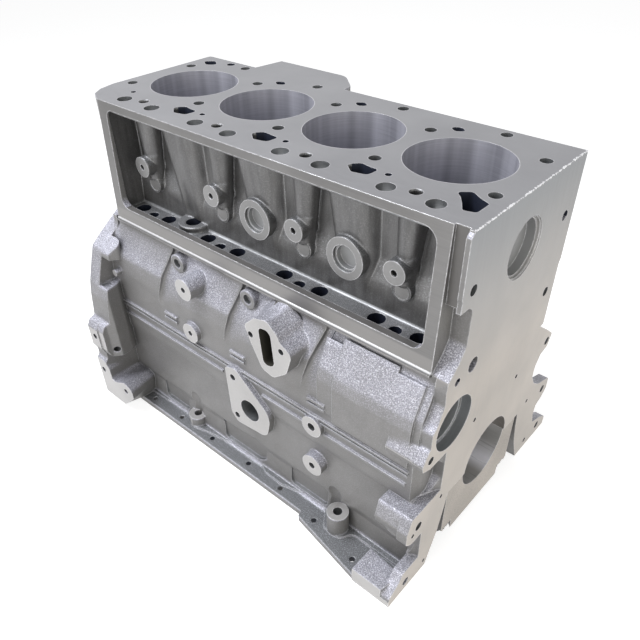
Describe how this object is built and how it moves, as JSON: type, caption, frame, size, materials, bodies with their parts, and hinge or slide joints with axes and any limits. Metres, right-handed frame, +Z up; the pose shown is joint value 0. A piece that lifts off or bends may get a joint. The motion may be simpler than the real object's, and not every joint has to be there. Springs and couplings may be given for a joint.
{
  "type": "engine block",
  "caption": "Bare in-line engine block with open cylinder bores, a side tappet valley, main bearing caps and machined end faces.",
  "frame": {"origin": "crankshaft axis at the rear face", "axes": "+X rearward along the crankshaft, +Z up through the cylinders, -Y the camshaft side"},
  "size_m": [0.5226, 0.3645, 0.4229],
  "materials": {
    "casting": "matte",
    "cap_iron": "matte",
    "steel": "satin",
    "bush": "satin",
    "bolt": "satin"
  },
  "bodies": {
    "root": {"block_casting": "casting", "main_cap_bolts": "bolt", "cap_ring_dowels": "steel", "rear_core_plug": "steel", "front_core_plug": "steel", "valley_core_plug_front": "steel", "valley_core_plug_rear": "steel", "valley_small_plugs": "steel", "front_gallery_plug": "steel", "gear_case_dowels": "steel", "main_cap_1": "cap_iron", "cam_bush_1": "bush", "main_cap_2": "cap_iron", "cam_bush_2": "bush", "main_cap_3": "cap_iron", "cam_bush_3": "bush", "main_cap_4": "cap_iron", "cam_bush_4": "bush", "main_cap_5": "cap_iron", "cam_bush_5": "bush"}
  },
  "joints": []
}
